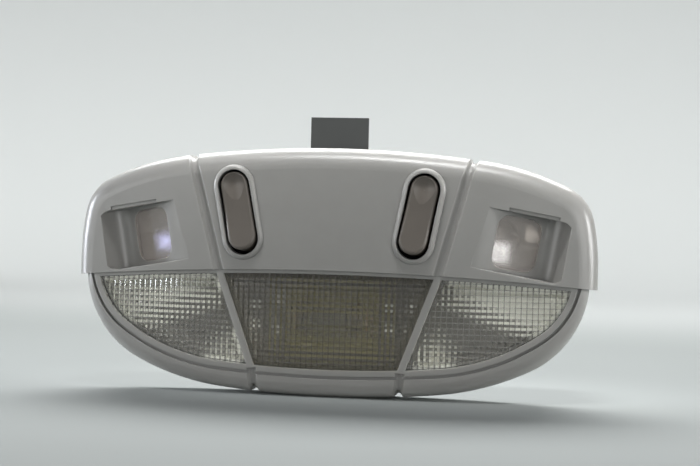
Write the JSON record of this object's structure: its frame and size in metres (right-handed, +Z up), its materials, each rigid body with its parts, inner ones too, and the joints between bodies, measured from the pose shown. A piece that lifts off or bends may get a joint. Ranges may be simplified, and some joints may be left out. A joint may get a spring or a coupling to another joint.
{
  "type": "car dome light",
  "caption": "Overhead car lamp: oval grey bezel with fluted lenses in its lower half, scooped map lamps and tilting rocker buttons above, and a locating tongue at the top edge.",
  "frame": {"origin": "midway between the two fixing-screw holes, on the plane that seats against the roof lining", "axes": "+X to the right across the face, +Z up across the face towards the tongue, +Y out of the back into the roof; the face looks along -Y"},
  "size_m": [0.2, 0.0437, 0.1062],
  "materials": {
    "bezel_plastic": "glossy moulding",
    "button_plastic": "satin moulding",
    "prism_lens": "clear fluted moulding",
    "smooth_lens": "clear polished moulding",
    "housing_plastic": "moulded",
    "tray_plastic": "white moulding",
    "shield_steel": "yellow passivated",
    "bowl_mirror": "vacuum metallised",
    "bulb_glass": "blown",
    "cap_nickel": "nickel plated",
    "lead_brass": "stamped",
    "plain_steel": "zinc plated",
    "switch_plastic": "moulded",
    "plunger_plastic": "moulded",
    "connector_plastic": "moulded",
    "tongue_steel": "dark phosphate and paint"
  },
  "bodies": {
    "lamp": {"bezel": "bezel_plastic", "left_lens": "prism_lens", "centre_lens": "prism_lens", "right_lens": "prism_lens", "rear_housing": "housing_plastic", "dome_reflector": "tray_plastic", "heat_shield": "shield_steel", "dome_bulb": "bulb_glass", "dome_bulb_caps": "cap_nickel", "housing_screws": "plain_steel", "connector_shell": "connector_plastic", "connector_pins": "lead_brass", "locating_tongue": "tongue_steel", "tongue_rivets": "plain_steel", "left_map_lens": "smooth_lens", "left_switch_body": "switch_plastic", "left_switch_blades": "lead_brass", "left_map_reflector": "bowl_mirror", "left_map_bulb": "bulb_glass", "left_bulb_holder": "switch_plastic", "left_dome_terminal": "lead_brass", "left_lead_strip": "lead_brass", "right_map_lens": "smooth_lens", "right_switch_body": "switch_plastic", "right_switch_blades": "lead_brass", "right_map_reflector": "bowl_mirror", "right_map_bulb": "bulb_glass", "right_bulb_holder": "switch_plastic", "right_dome_terminal": "lead_brass", "right_lead_strip": "lead_brass"},
    "left_rocker_body": {"left_button": "button_plastic", "left_button_plunger": "plunger_plastic", "left_button_spring": "plain_steel"},
    "right_rocker_body": {"right_button": "button_plastic", "right_button_plunger": "plunger_plastic", "right_button_spring": "plain_steel"}
  },
  "joints": [
    {"name": "left_rocker", "type": "hinge", "parent": "lamp", "child": "left_rocker_body", "pos_m": [-0.0342, -0.013, 0.0396], "axis": [0.982, 0, 0.1891], "range_deg": [0, 10]},
    {"name": "right_rocker", "type": "hinge", "parent": "lamp", "child": "right_rocker_body", "pos_m": [0.0342, -0.013, 0.0396], "axis": [0.982, 0, -0.1891], "range_deg": [0, 10]}
  ]
}
